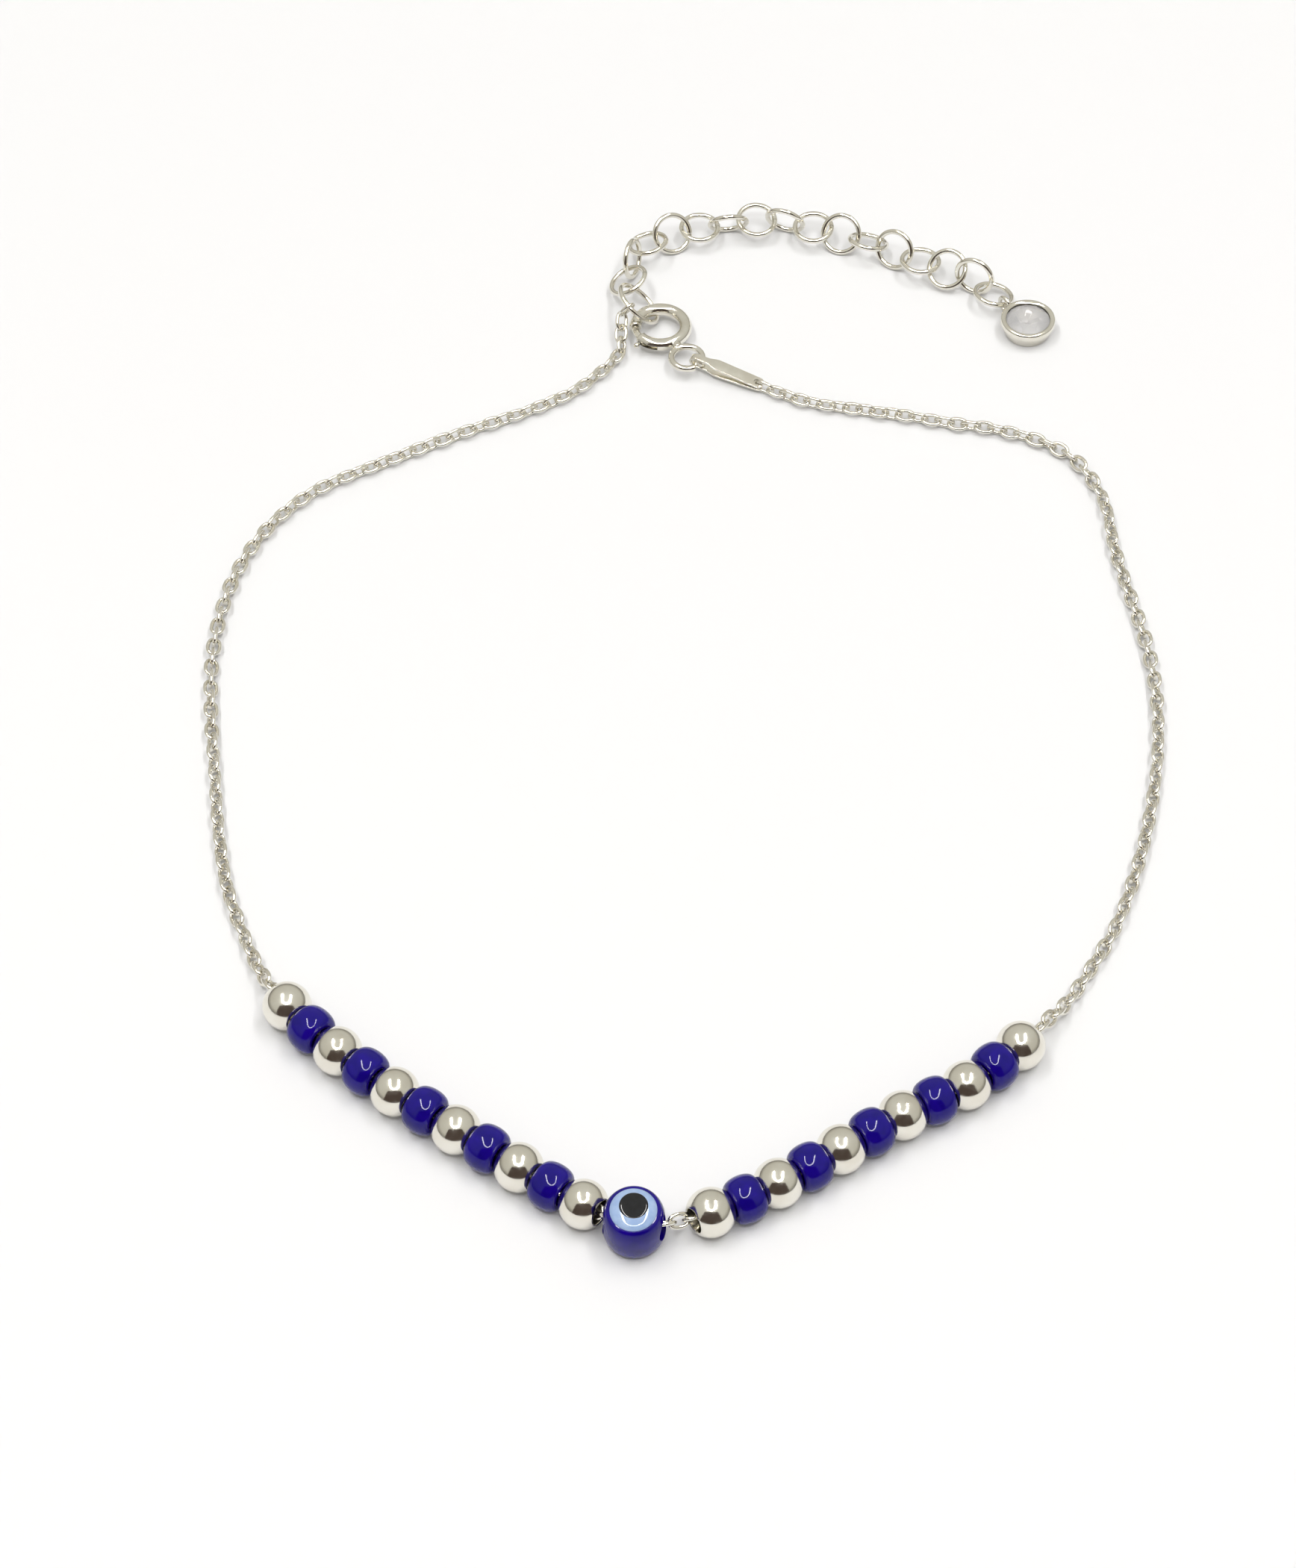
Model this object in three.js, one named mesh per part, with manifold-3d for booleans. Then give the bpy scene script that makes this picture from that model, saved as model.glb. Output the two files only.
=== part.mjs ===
// A fastened anklet lying on a table: a fine cable chain threaded through silver balls, blue glass
// barrels and one glass eye bead, closed by a spring ring, with an extender chain that ends in a
// bezel-set drop. Millimetres, +Z up, the table at z = 0, the eye bead towards -Y.

import * as THREE from 'three';
import { ConvexGeometry } from 'three/addons/geometries/ConvexGeometry.js';
import { mergeVertices } from 'three/addons/utils/BufferGeometryUtils.js';
import Module from 'manifold-3d';

const wasm = await Module();
wasm.setup();

// Driving dimensions

const BALL_DIAMETER = 3.5;
const BARREL_DIAMETER = 3.4;
const BARREL_LENGTH = 1.9;
const BARREL_END_DIAMETER = 2.3;
const BEAD_BORE = 1.8;
const BEAD_SIDES = 14;
const BEAD_AXIS_HEIGHT = BALL_DIAMETER / 2;

const CHAIN_DIAMETER = 1.1;
const CHAIN_SIDES = 8;
const CHAIN_STEPS = 60;
const CHAIN_CLEARANCE = 0.03;
const CHAIN_REST = CHAIN_DIAMETER / 2 + CHAIN_CLEARANCE;
const CHAIN_MEETING_GAP = 0.5;

const EYE_HOLE = 2.2;
const EYE_HOLE_HEIGHT = 2.0;
const EYE_HOLE_LENGTH = 6;
const EYE_TILT = 8;
const EYE_SETBACK = 0.36;
const EYE_LIFT = 0.12;
const EYE_SIDES = 16;
const BALL_BANDS = 6;
const BARREL_BANDS = 4;
const IRIS_DIAMETER = 3.3;
const PUPIL_DIAMETER = 2.0;
const PUPIL_OFFSET = 0.15;
const INLAY_GAP = 0.06;

const CLASP_CENTRE = { x: -1.65, y: 37.65, z: 1.1 };
const CLASP_RADIUS = 2.02;
const CLASP_TUBE = 1.0;
const CLASP_BORE = 0.74;
const CLASP_GAP = { from: 183, to: 218 };
const BOLT_DIAMETER = 0.58;
const BOLT_ARC = { from: 184.5, to: 232 };
const BORE_ARC = { from: 217, to: 268 };
const SLOT_ARC = { from: 224, to: 264.5 };
const SLOT_HEIGHT = 0.36;
const NUB_ANGLE = 228;
const NUB_STEM = 0.24;
const NUB_REACH = 0.85;
const NUB_HEAD = 0.46;
const CLASP_SIDES = 10;
const CLASP_STEPS = 30;
const FINE_SIDES = 8;
const FINE_STEPS = 10;

const TAIL_DISTANCE = 4.1;
const TAIL_HEADING = -59;
const TAIL_RADIUS = 1.25;
const TAIL_WIRE = 0.54;
const TAIL_ARC = { from: -40, to: 300 };
const TAIL_STEPS = 20;
const SOLDER_NECK = 0.84;

const TAG_HEADING = -25;
const TAG_DIP = 5;
const TAG_ROLL = 8;
const TAG_FOLD_START = -0.95;
const TAG_PARALLEL_END = 0.65;
const TAG_SHOULDER_END = 1.3;
const TAG_LENGTH = 5.35;
const TAG_LEAF = 0.2;
const TAG_FOLD_GAP = 0.78;
const TAG_END_GAP = 0.1;
const TAG_FOLD_WIDTH = 0.6;
const TAG_END_WIDTH = 1.0;
const TAG_HOLE = 0.5;
const TAG_HOLE_AT = 4.85;
const TAG_CUT_DEPTH = 4;

const LINK_RADIUS = 1.5;
const LINK_WIRE = 0.42;
const LINK_PITCH = 2.38;
const LINK_CLEARANCE = 0.02;
const LINK_SAG = 0.2;
const LINK_SIDES = 16;
const WIRE_SIDES = 6;
const END_RING_RADIUS = 1.95;

const DROP_CENTRE = { x: 27.9, y: 38.2 };
const BEZEL_SIDES = 24;
const BEZEL_HEIGHT = 1.6;
const BEZEL_RIM_FROM = 1.2;
const BEZEL_ROUNDING = 0.14;
const BEZEL_RIM_RADIUS = 2.2;
const BEZEL_BASE_RADIUS = 1.75;
const BEZEL_LIP_RADIUS = 1.76;
const DROP_LOOP_HEADING = 128;
const DROP_LOOP_DISTANCE = 2.75;
const DROP_LOOP_RADIUS = 0.62;
const DROP_LOOP_WIRE = 0.36;
const DROP_LOOP_HEIGHT = 0.95;
const DROP_LOOP_SIDES = 14;
const STONE_DIAMETER = 3.6;
const STONE_CULET = 0.35;
const STONE_GIRDLE_BASE = 1.2;
const STONE_GIRDLE_TOP = 1.3;
const STONE_TABLE = 1.8;

// Where the string runs, from the eye bead outwards. Beads sit on the first stretch of each side.

const EYE_PLACE = { x: -3.6, y: -50.2, z: 2.32 };

const LEFT_ROUTE = [
  { x: -7.1, y: -48.1, z: BEAD_AXIS_HEIGHT },
  { x: -11.6, y: -45.0, z: BEAD_AXIS_HEIGHT },
  { x: -15.9, y: -41.9, z: BEAD_AXIS_HEIGHT },
  { x: -20.3, y: -38.6, z: BEAD_AXIS_HEIGHT },
  { x: -24.4, y: -35.1, z: BEAD_AXIS_HEIGHT },
  { x: -27.2, y: -32.3, z: BEAD_AXIS_HEIGHT },
  { x: -28.8, y: -30.2, z: 1.75 },
  { x: -30.3, y: -27.3, z: 0.9 },
  { x: -31.6, y: -24.0, z: CHAIN_REST },
  { x: -33.0, y: -19.8, z: CHAIN_REST },
  { x: -33.9, y: -15.0, z: CHAIN_REST },
  { x: -34.6, y: -9.0, z: CHAIN_REST },
  { x: -35.2, y: -3.5, z: CHAIN_REST },
  { x: -35.5, y: 2.0, z: CHAIN_REST },
  { x: -35.2, y: 6.5, z: CHAIN_REST },
  { x: -34.4, y: 10.5, z: CHAIN_REST },
  { x: -33.0, y: 14.2, z: CHAIN_REST },
  { x: -31.0, y: 17.4, z: CHAIN_REST },
  { x: -28.2, y: 20.2, z: CHAIN_REST },
  { x: -23.0, y: 23.2, z: CHAIN_REST },
  { x: -17.2, y: 26.3, z: CHAIN_REST },
  { x: -12.3, y: 28.6, z: CHAIN_REST },
  { x: -8.6, y: 30.8, z: CHAIN_REST },
  { x: -6.7, y: 32.7, z: CHAIN_REST },
  { x: -5.4, y: 34.3, z: CHAIN_REST },
  { x: -4.8, y: 35.6, z: 0.75 },
  { x: -4.8, y: 36.9, z: 1.2 },
  { x: -4.65, y: 38.2, z: 2.0 },
];

const RIGHT_ROUTE = [
  { x: 1.4, y: -48.9, z: 1.77 },
  { x: 6.4, y: -46.3, z: BEAD_AXIS_HEIGHT },
  { x: 10.7, y: -43.5, z: BEAD_AXIS_HEIGHT },
  { x: 15.1, y: -40.6, z: BEAD_AXIS_HEIGHT },
  { x: 19.5, y: -38.1, z: BEAD_AXIS_HEIGHT },
  { x: 23.1, y: -35.0, z: BEAD_AXIS_HEIGHT },
  { x: 25.2, y: -32.7, z: 1.75 },
  { x: 27.0, y: -30.2, z: 0.85 },
  { x: 28.9, y: -27.0, z: CHAIN_REST },
  { x: 31.0, y: -23.0, z: CHAIN_REST },
  { x: 33.2, y: -16.5, z: CHAIN_REST },
  { x: 34.4, y: -11.3, z: CHAIN_REST },
  { x: 35.1, y: -6.8, z: CHAIN_REST },
  { x: 35.4, y: -2.0, z: CHAIN_REST },
  { x: 35.2, y: 2.5, z: CHAIN_REST },
  { x: 34.6, y: 6.5, z: CHAIN_REST },
  { x: 33.8, y: 10.6, z: CHAIN_REST },
  { x: 33.2, y: 14.5, z: CHAIN_REST },
  { x: 33.0, y: 17.5, z: CHAIN_REST },
  { x: 32.3, y: 20.4, z: CHAIN_REST },
  { x: 30.6, y: 23.5, z: CHAIN_REST },
  { x: 28.2, y: 25.3, z: CHAIN_REST },
  { x: 24.5, y: 26.7, z: CHAIN_REST },
  { x: 21.3, y: 27.3, z: CHAIN_REST },
  { x: 17.4, y: 28.2, z: CHAIN_REST },
  { x: 14.2, y: 28.8, z: CHAIN_REST },
  { x: 10.0, y: 29.7, z: CHAIN_REST },
  { x: 6.85, y: 31.17, z: CHAIN_REST },
];

// Each side's beads: how far the first ball is from the eye, then the step from bead to bead.
const BEAD_RUNS = [
  { side: 'left', direction: -1, first: 4.1, pitch: 2.7 },
  { side: 'right', direction: 1, first: 5.5, pitch: 2.6 },
];
const BEADS_PER_RUN = 11;

const EXTENDER_ROUTE = [
  { x: -4.25, y: 42.6 },
  { x: -3.9, y: 45.0 },
  { x: -2.5, y: 47.1 },
  { x: -0.3, y: 48.4 },
  { x: 2.1, y: 49.1 },
  { x: 4.6, y: 49.4 },
  { x: 7.0, y: 49.9 },
  { x: 9.4, y: 49.3 },
  { x: 11.7, y: 48.7 },
  { x: 13.9, y: 47.9 },
  { x: 16.1, y: 46.9 },
  { x: 18.2, y: 45.7 },
  { x: 20.3, y: 44.6 },
  { x: 22.5, y: 43.5 },
  { x: 24.8, y: 42.4 },
];

// How far each extender link leans about the chain, in degrees: 0 lies flat, 90 stands up.
const LINK_ROLLS = [-27, 80, -17, 52, 0, -62, 11, -71, 5, 52, -24, 66, -6, 40, 83];

// The two larger jump rings: centre, and heading, roll and climb of the ring in degrees.
const END_RING = { x: -3.4, y: 39.85, z: 1.56, heading: 106, roll: 43, climb: 1 };
const DROP_RING = { x: 25.3, y: 41.5, z: 1.0, heading: -45, roll: -15 };

// Materials

const finish = (color, roughness, metalness) =>
  new THREE.MeshStandardMaterial({ color, roughness, metalness });

const SILVER = finish(0xe6e2d8, 0.16, 1.0);
const COBALT = finish(0x1c08a0, 0.08, 0.0);
const PALE_BLUE = finish(0x9db8e0, 0.12, 0.0);
const BLACK = finish(0x05050a, 0.08, 0.0);
const CLEAR = finish(0xf4f6f8, 0.03, 0.0);

// Helpers

const WELD_DISTANCE = 1e-5;
const radians = THREE.MathUtils.degToRad;
const vector = ({ x, y, z = 0 }) => new THREE.Vector3(x, y, z);

const part = new THREE.Group();

function addPiece(name, geometry, material, parent = part) {
  const mesh = new THREE.Mesh(geometry, material);
  mesh.name = name;
  parent.add(mesh);
  return mesh;
}

function toSolid(geometry) {
  const bare = geometry.clone();
  bare.deleteAttribute('normal');
  bare.deleteAttribute('uv');
  const merged = mergeVertices(bare, WELD_DISTANCE);
  return new wasm.Manifold(new wasm.Mesh({
    numProp: 3,
    vertProperties: new Float32Array(merged.attributes.position.array),
    triVerts: new Uint32Array(merged.index.array),
  }));
}

function toGeometry(solid) {
  const { vertProperties, triVerts } = solid.getMesh();
  const geometry = new THREE.BufferGeometry();
  geometry.setAttribute('position', new THREE.BufferAttribute(vertProperties, 3));
  geometry.setIndex(new THREE.BufferAttribute(triVerts, 1));
  return geometry;
}

// A regular polygon with its corners on the circle, as the section of a round wire or tube.
function roundSection(diameter, sides) {
  const corners = [];
  for (let i = 0; i < sides; i += 1) {
    const angle = (i + 0.5) / sides * 2 * Math.PI;
    corners.push(new THREE.Vector2(Math.cos(angle), Math.sin(angle)).multiplyScalar(diameter / 2));
  }
  return new THREE.Shape(corners);
}

function sweep(path, diameter, sides, steps) {
  return new THREE.ExtrudeGeometry(roundSection(diameter, sides), { extrudePath: path, steps });
}

function lathe(profile, sides) {
  return new THREE.LatheGeometry(profile.map(([r, h]) => new THREE.Vector2(r, h)), sides);
}

// An arc about the Z axis, from one angle to another in degrees.
class RingArc extends THREE.Curve {
  constructor(radius, arc) {
    super();
    this.radius = radius;
    this.arc = arc;
  }

  getPoint(t, target = new THREE.Vector3()) {
    const angle = radians(THREE.MathUtils.lerp(this.arc.from, this.arc.to, t));
    return target.set(this.radius * Math.cos(angle), this.radius * Math.sin(angle), 0);
  }
}

// A stretch of another curve, between two distances along it.
class Stretch extends THREE.Curve {
  constructor(base, from, to) {
    super();
    this.base = base;
    this.from = from / base.getLength();
    this.to = to / base.getLength();
  }

  getPoint(t, target = new THREE.Vector3()) {
    return this.base.getPointAt(THREE.MathUtils.lerp(this.from, this.to, t), target);
  }
}

// The string's curve, and where the eye bead is along it

const SAMPLES_PER_SPAN = 24;
const stringPoints = [...LEFT_ROUTE].reverse().concat(EYE_PLACE, RIGHT_ROUTE).map(vector);
const string = new THREE.CatmullRomCurve3(stringPoints);
string.arcLengthDivisions = SAMPLES_PER_SPAN * (stringPoints.length - 1);
const stringLength = string.getLength();
const eyeDistance = string.getLengths()[SAMPLES_PER_SPAN * LEFT_ROUTE.length];

// Chain

function addChain(name, from, to) {
  const path = new Stretch(string, from, to);
  addPiece(name, sweep(path, CHAIN_DIAMETER, CHAIN_SIDES, CHAIN_STEPS), SILVER);
}

addChain('chain_left', 0, eyeDistance - CHAIN_MEETING_GAP / 2);
addChain('chain_right', eyeDistance + CHAIN_MEETING_GAP / 2, stringLength);

// Silver balls and blue barrels, drilled along their own axis

function ballGeometry() {
  const radius = BALL_DIAMETER / 2;
  const rim = Math.asin(BEAD_BORE / BALL_DIAMETER);
  const profile = [];
  for (let i = 0; i <= BALL_BANDS; i += 1) {
    const angle = THREE.MathUtils.lerp(Math.PI - rim, rim, i / BALL_BANDS);
    profile.push([radius * Math.sin(angle), radius * Math.cos(angle)]);
  }
  profile.push(profile[0]);
  return lathe(profile, BEAD_SIDES);
}

function barrelGeometry() {
  const half = BARREL_LENGTH / 2;
  const bulge = (BARREL_DIAMETER - BARREL_END_DIAMETER) / 2;
  const profile = [[BEAD_BORE / 2, -half]];
  for (let i = 0; i <= BARREL_BANDS; i += 1) {
    const angle = Math.PI * i / BARREL_BANDS;
    profile.push([BARREL_END_DIAMETER / 2 + bulge * Math.sin(angle), -half * Math.cos(angle)]);
  }
  profile.push([BEAD_BORE / 2, half], [BEAD_BORE / 2, -half]);
  return lathe(profile, BEAD_SIDES);
}

function threadOnString(mesh, distance) {
  const along = distance / stringLength;
  mesh.position.copy(string.getPointAt(along));
  mesh.quaternion.setFromUnitVectors(new THREE.Vector3(0, 1, 0), string.getTangentAt(along));
}

const ball = ballGeometry();
const barrel = barrelGeometry();
for (const { side, direction, first, pitch } of BEAD_RUNS) {
  for (let i = 0; i < BEADS_PER_RUN; i += 1) {
    const isBall = i % 2 === 0;
    const number = Math.floor(i / 2) + 1;
    const name = isBall ? `ball_${side}_${number}` : `blue_${side}_${number}`;
    const bead = addPiece(name, isBall ? ball : barrel, isBall ? SILVER : COBALT);
    threadOnString(bead, eyeDistance + direction * (first + pitch * i));
  }
}

// Eye bead: a rounded upright drum, drilled across, with a pale disc and a dark centre let into its
// top. It is set back on the string and a little below its crest, because the string bends inside it.

const IRIS_SEAT = 3.38;
const EYE_RIM_HEIGHT = 3.7;
const PUPIL_SEAT = 3.78;
const PUPIL_CUT_TOP = 4.5;
const DRUM_PROFILE = [
  { radius: 1.45, height: 0 },
  { radius: 1.95, height: 0.3 },
  { radius: 2.2, height: 1.1 },
  { radius: 2.2, height: 2.3 },
  { radius: 2.08, height: 3.05 },
  { radius: 1.88, height: 3.55 },
];

// The domes of the two discs: a share of the disc's radius, and the height there.
const IRIS_DOME = [
  { share: 1, height: EYE_RIM_HEIGHT },
  { share: 0.8, height: 3.92 },
  { share: 0.45, height: 4.06 },
  { share: 0, height: 4.11 },
];
const PUPIL_DOME = [
  { share: 1, height: 3.98 },
  { share: 0.6, height: 4.1 },
  { share: 0, height: 4.14 },
];

function standUp(geometry) {
  return geometry.rotateX(Math.PI / 2);
}

function drumGeometry() {
  const seatRadius = IRIS_DIAMETER / 2 + INLAY_GAP;
  const outside = DRUM_PROFILE.map(({ radius, height }) => [radius, height]);
  const seat = [[seatRadius, EYE_RIM_HEIGHT], [seatRadius, IRIS_SEAT], [0, IRIS_SEAT]];
  const drum = standUp(lathe([[0, 0], ...outside, ...seat], EYE_SIDES));
  const hole = new THREE.CylinderGeometry(EYE_HOLE / 2, EYE_HOLE / 2, EYE_HOLE_LENGTH, EYE_SIDES);
  hole.rotateZ(Math.PI / 2).translate(0, 0, EYE_HOLE_HEIGHT);
  return toGeometry(toSolid(drum).subtract(toSolid(hole)));
}

function domedDisc(diameter, seat, dome) {
  const radius = diameter / 2;
  const top = dome.map(({ share, height }) => [radius * share, height]);
  return standUp(lathe([[0, seat], [radius, seat], ...top], EYE_SIDES));
}

function irisGeometry() {
  const disc = domedDisc(IRIS_DIAMETER, IRIS_SEAT + INLAY_GAP, IRIS_DOME);
  const cutRadius = PUPIL_DIAMETER / 2 + INLAY_GAP;
  const cutDepth = PUPIL_CUT_TOP - PUPIL_SEAT;
  const cut = standUp(new THREE.CylinderGeometry(cutRadius, cutRadius, cutDepth, EYE_SIDES));
  cut.translate(0, PUPIL_OFFSET, PUPIL_SEAT + cutDepth / 2);
  return toGeometry(toSolid(disc).subtract(toSolid(cut)));
}

function pupilGeometry() {
  const disc = domedDisc(PUPIL_DIAMETER, PUPIL_SEAT + INLAY_GAP, PUPIL_DOME);
  return disc.translate(0, PUPIL_OFFSET, 0);
}

function addEye() {
  const along = string.getTangentAt(eyeDistance / stringLength);
  const heading = new THREE.Group();
  heading.position.copy(vector(EYE_PLACE));
  heading.position.y += EYE_SETBACK;
  heading.position.z -= EYE_LIFT;
  heading.rotation.z = Math.atan2(along.y, along.x);
  part.add(heading);
  const tilt = new THREE.Group();
  tilt.rotation.x = radians(EYE_TILT);
  heading.add(tilt);
  const eye = new THREE.Group();
  eye.position.z = -EYE_HOLE_HEIGHT;
  tilt.add(eye);
  addPiece('eye_bead', drumGeometry(), COBALT, eye);
  addPiece('eye_iris', irisGeometry(), PALE_BLUE, eye);
  addPiece('eye_pupil', pupilGeometry(), BLACK, eye);
}

addEye();

// Spring ring with its soldered tail loop, and the bolt that slides in it

function onHeading(distance, heading, z = 0) {
  const angle = radians(heading);
  return new THREE.Vector3(distance * Math.cos(angle), distance * Math.sin(angle), z);
}

// A flat shape given a thickness, centred on z = 0.
function flatSolid(shape, depth) {
  const options = { depth, bevelEnabled: false, curveSegments: FINE_STEPS };
  return new THREE.ExtrudeGeometry(shape, options).translate(0, 0, -depth / 2);
}

function arcPlate(inner, outer, arc, height) {
  const shape = new THREE.Shape();
  shape.absarc(0, 0, outer, radians(arc.from), radians(arc.to), false);
  shape.absarc(0, 0, inner, radians(arc.to), radians(arc.from), true);
  return flatSolid(shape, height);
}

function claspGeometry() {
  const ringArc = { from: CLASP_GAP.to, to: CLASP_GAP.from + 360 };
  const ring = toSolid(sweep(new RingArc(CLASP_RADIUS, ringArc), CLASP_TUBE, CLASP_SIDES, CLASP_STEPS));
  const bore = toSolid(sweep(new RingArc(CLASP_RADIUS, BORE_ARC), CLASP_BORE, FINE_SIDES, FINE_STEPS));
  const slot = toSolid(arcPlate(CLASP_RADIUS, CLASP_RADIUS + CLASP_TUBE, SLOT_ARC, SLOT_HEIGHT));
  const tail = sweep(new RingArc(TAIL_RADIUS, TAIL_ARC), TAIL_WIRE, WIRE_SIDES, TAIL_STEPS);
  tail.translate(...onHeading(TAIL_DISTANCE, TAIL_HEADING));
  const neckLength = TAIL_DISTANCE - TAIL_RADIUS - CLASP_RADIUS;
  const neck = new THREE.CylinderGeometry(SOLDER_NECK / 2, TAIL_WIRE / 2, neckLength, FINE_SIDES);
  neck.rotateZ(Math.PI / 2);
  neck.translate(CLASP_RADIUS + neckLength / 2, 0, 0);
  neck.rotateZ(radians(TAIL_HEADING));
  return toGeometry(ring.add(toSolid(neck)).add(toSolid(tail)).subtract(bore).subtract(slot));
}

function boltGeometry() {
  const bolt = toSolid(sweep(new RingArc(CLASP_RADIUS, BOLT_ARC), BOLT_DIAMETER, FINE_SIDES, FINE_STEPS));
  const stem = new THREE.CylinderGeometry(NUB_STEM / 2, NUB_STEM / 2, NUB_REACH, FINE_SIDES);
  stem.rotateZ(Math.PI / 2);
  stem.translate(CLASP_RADIUS + NUB_REACH / 2, 0, 0);
  stem.rotateZ(radians(NUB_ANGLE));
  const head = new THREE.SphereGeometry(NUB_HEAD / 2, FINE_SIDES, FINE_SIDES / 2);
  head.translate(...onHeading(CLASP_RADIUS + NUB_REACH, NUB_ANGLE));
  return toGeometry(bolt.add(toSolid(stem)).add(toSolid(head)));
}

const clasp = new THREE.Group();
clasp.position.copy(vector(CLASP_CENTRE));
part.add(clasp);
addPiece('clasp_ring', claspGeometry(), SILVER, clasp);
addPiece('clasp_bolt', boltGeometry(), SILVER, clasp);

// Tag: a strip folded round the tail loop, its two leaves closing towards a hole for the chain

function tagGeometry() {
  const fold = TAG_FOLD_GAP / 2;
  const end = TAG_END_GAP / 2;
  const bend = TAG_FOLD_START + TAG_LEAF + fold;
  const side = new THREE.Shape();
  side.moveTo(TAG_LENGTH, end + TAG_LEAF);
  side.lineTo(TAG_PARALLEL_END, fold + TAG_LEAF);
  side.absarc(bend, 0, fold + TAG_LEAF, Math.PI / 2, Math.PI * 1.5, false);
  side.lineTo(TAG_PARALLEL_END, -fold - TAG_LEAF);
  side.lineTo(TAG_LENGTH, -end - TAG_LEAF);
  side.lineTo(TAG_LENGTH, -end);
  side.lineTo(TAG_PARALLEL_END, -fold);
  side.absarc(bend, 0, fold, Math.PI * 1.5, Math.PI / 2, true);
  side.lineTo(TAG_LENGTH, end);
  const strip = flatSolid(side, TAG_END_WIDTH).rotateX(Math.PI / 2);

  const tip = TAG_LENGTH - TAG_END_WIDTH / 2;
  const plan = new THREE.Shape();
  plan.moveTo(TAG_FOLD_START - TAG_LEAF, -TAG_FOLD_WIDTH / 2);
  plan.lineTo(TAG_PARALLEL_END, -TAG_FOLD_WIDTH / 2);
  plan.lineTo(TAG_SHOULDER_END, -TAG_END_WIDTH / 2);
  plan.lineTo(tip, -TAG_END_WIDTH / 2);
  plan.absarc(tip, 0, TAG_END_WIDTH / 2, -Math.PI / 2, Math.PI / 2, false);
  plan.lineTo(TAG_SHOULDER_END, TAG_END_WIDTH / 2);
  plan.lineTo(TAG_PARALLEL_END, TAG_FOLD_WIDTH / 2);
  plan.lineTo(TAG_FOLD_START - TAG_LEAF, TAG_FOLD_WIDTH / 2);
  const hole = new THREE.Path();
  hole.absarc(TAG_HOLE_AT, 0, TAG_HOLE / 2, 0, 2 * Math.PI, true);
  plan.holes.push(hole);
  return toGeometry(toSolid(strip).intersect(toSolid(flatSolid(plan, TAG_CUT_DEPTH))));
}

const tagHeading = new THREE.Group();
tagHeading.position.copy(vector(CLASP_CENTRE));
tagHeading.position.add(onHeading(TAIL_DISTANCE, TAIL_HEADING)).add(onHeading(TAIL_RADIUS, TAG_HEADING));
tagHeading.rotation.z = radians(TAG_HEADING);
part.add(tagHeading);
const tag = addPiece('clasp_tag', tagGeometry(), SILVER, tagHeading);
tag.rotation.set(radians(TAG_ROLL), radians(TAG_DIP), 0);

// Extender links and the two jump rings

// Turns a ring that lies in XY so that its X axis runs along the heading, then climbs and leans.
function poseRing(mesh, { x, y, z, heading, roll, climb = 0 }) {
  mesh.position.set(x, y, z);
  mesh.rotation.set(radians(roll), radians(-climb), radians(heading), 'ZYX');
}

function addRing(name, radius, pose) {
  const ring = new THREE.TorusGeometry(radius, LINK_WIRE / 2, WIRE_SIDES, LINK_SIDES);
  poseRing(addPiece(name, ring, SILVER), pose);
}

// How high a link has to be so that it rests on the table, leaning as it does.
function restHeight(roll) {
  return LINK_RADIUS * Math.abs(Math.sin(radians(roll))) + LINK_WIRE / 2 + LINK_CLEARANCE;
}

const restHeights = LINK_ROLLS.map(restHeight);
const extender = new THREE.CatmullRomCurve3(EXTENDER_ROUTE.map(vector));
const extenderLength = extender.getLength();
LINK_ROLLS.forEach((roll, i) => {
  const along = i * LINK_PITCH / extenderLength;
  const { x, y } = extender.getPointAt(along);
  const tangent = extender.getTangentAt(along);
  const heading = THREE.MathUtils.radToDeg(Math.atan2(tangent.y, tangent.x));
  const name = `extender_link_${String(i + 1).padStart(2, '0')}`;
  const neighbours = [restHeights[i - 1] ?? 0, restHeights[i + 1] ?? 0];
  const z = Math.max(restHeights[i], ...neighbours.map((height) => height - LINK_SAG));
  addRing(name, LINK_RADIUS, { x, y, z, heading, roll });
});
addRing('end_ring', END_RING_RADIUS, END_RING);
addRing('drop_ring', LINK_RADIUS, DROP_RING);

// Drop: a bezel cup with a small soldered loop, and a round cut stone held under its lip

function bezelGeometry() {
  const seatRadius = STONE_DIAMETER / 2 + INLAY_GAP;
  const cup = standUp(lathe([
    [0, 0],
    [BEZEL_BASE_RADIUS, 0],
    [BEZEL_RIM_RADIUS, BEZEL_RIM_FROM],
    [BEZEL_RIM_RADIUS, BEZEL_HEIGHT - BEZEL_ROUNDING],
    [BEZEL_RIM_RADIUS - BEZEL_ROUNDING, BEZEL_HEIGHT],
    [BEZEL_LIP_RADIUS, BEZEL_HEIGHT],
    [seatRadius, STONE_GIRDLE_TOP + INLAY_GAP],
    [seatRadius, STONE_GIRDLE_BASE - INLAY_GAP],
    [0, STONE_CULET - 2 * INLAY_GAP],
  ], BEZEL_SIDES));
  const loop = new THREE.TorusGeometry(DROP_LOOP_RADIUS, DROP_LOOP_WIRE / 2, WIRE_SIDES, DROP_LOOP_SIDES);
  loop.rotateX(Math.PI / 2).rotateZ(radians(DROP_LOOP_HEADING));
  loop.translate(...onHeading(DROP_LOOP_DISTANCE, DROP_LOOP_HEADING, DROP_LOOP_HEIGHT));
  return toGeometry(toSolid(cup).add(toSolid(loop)));
}

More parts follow.
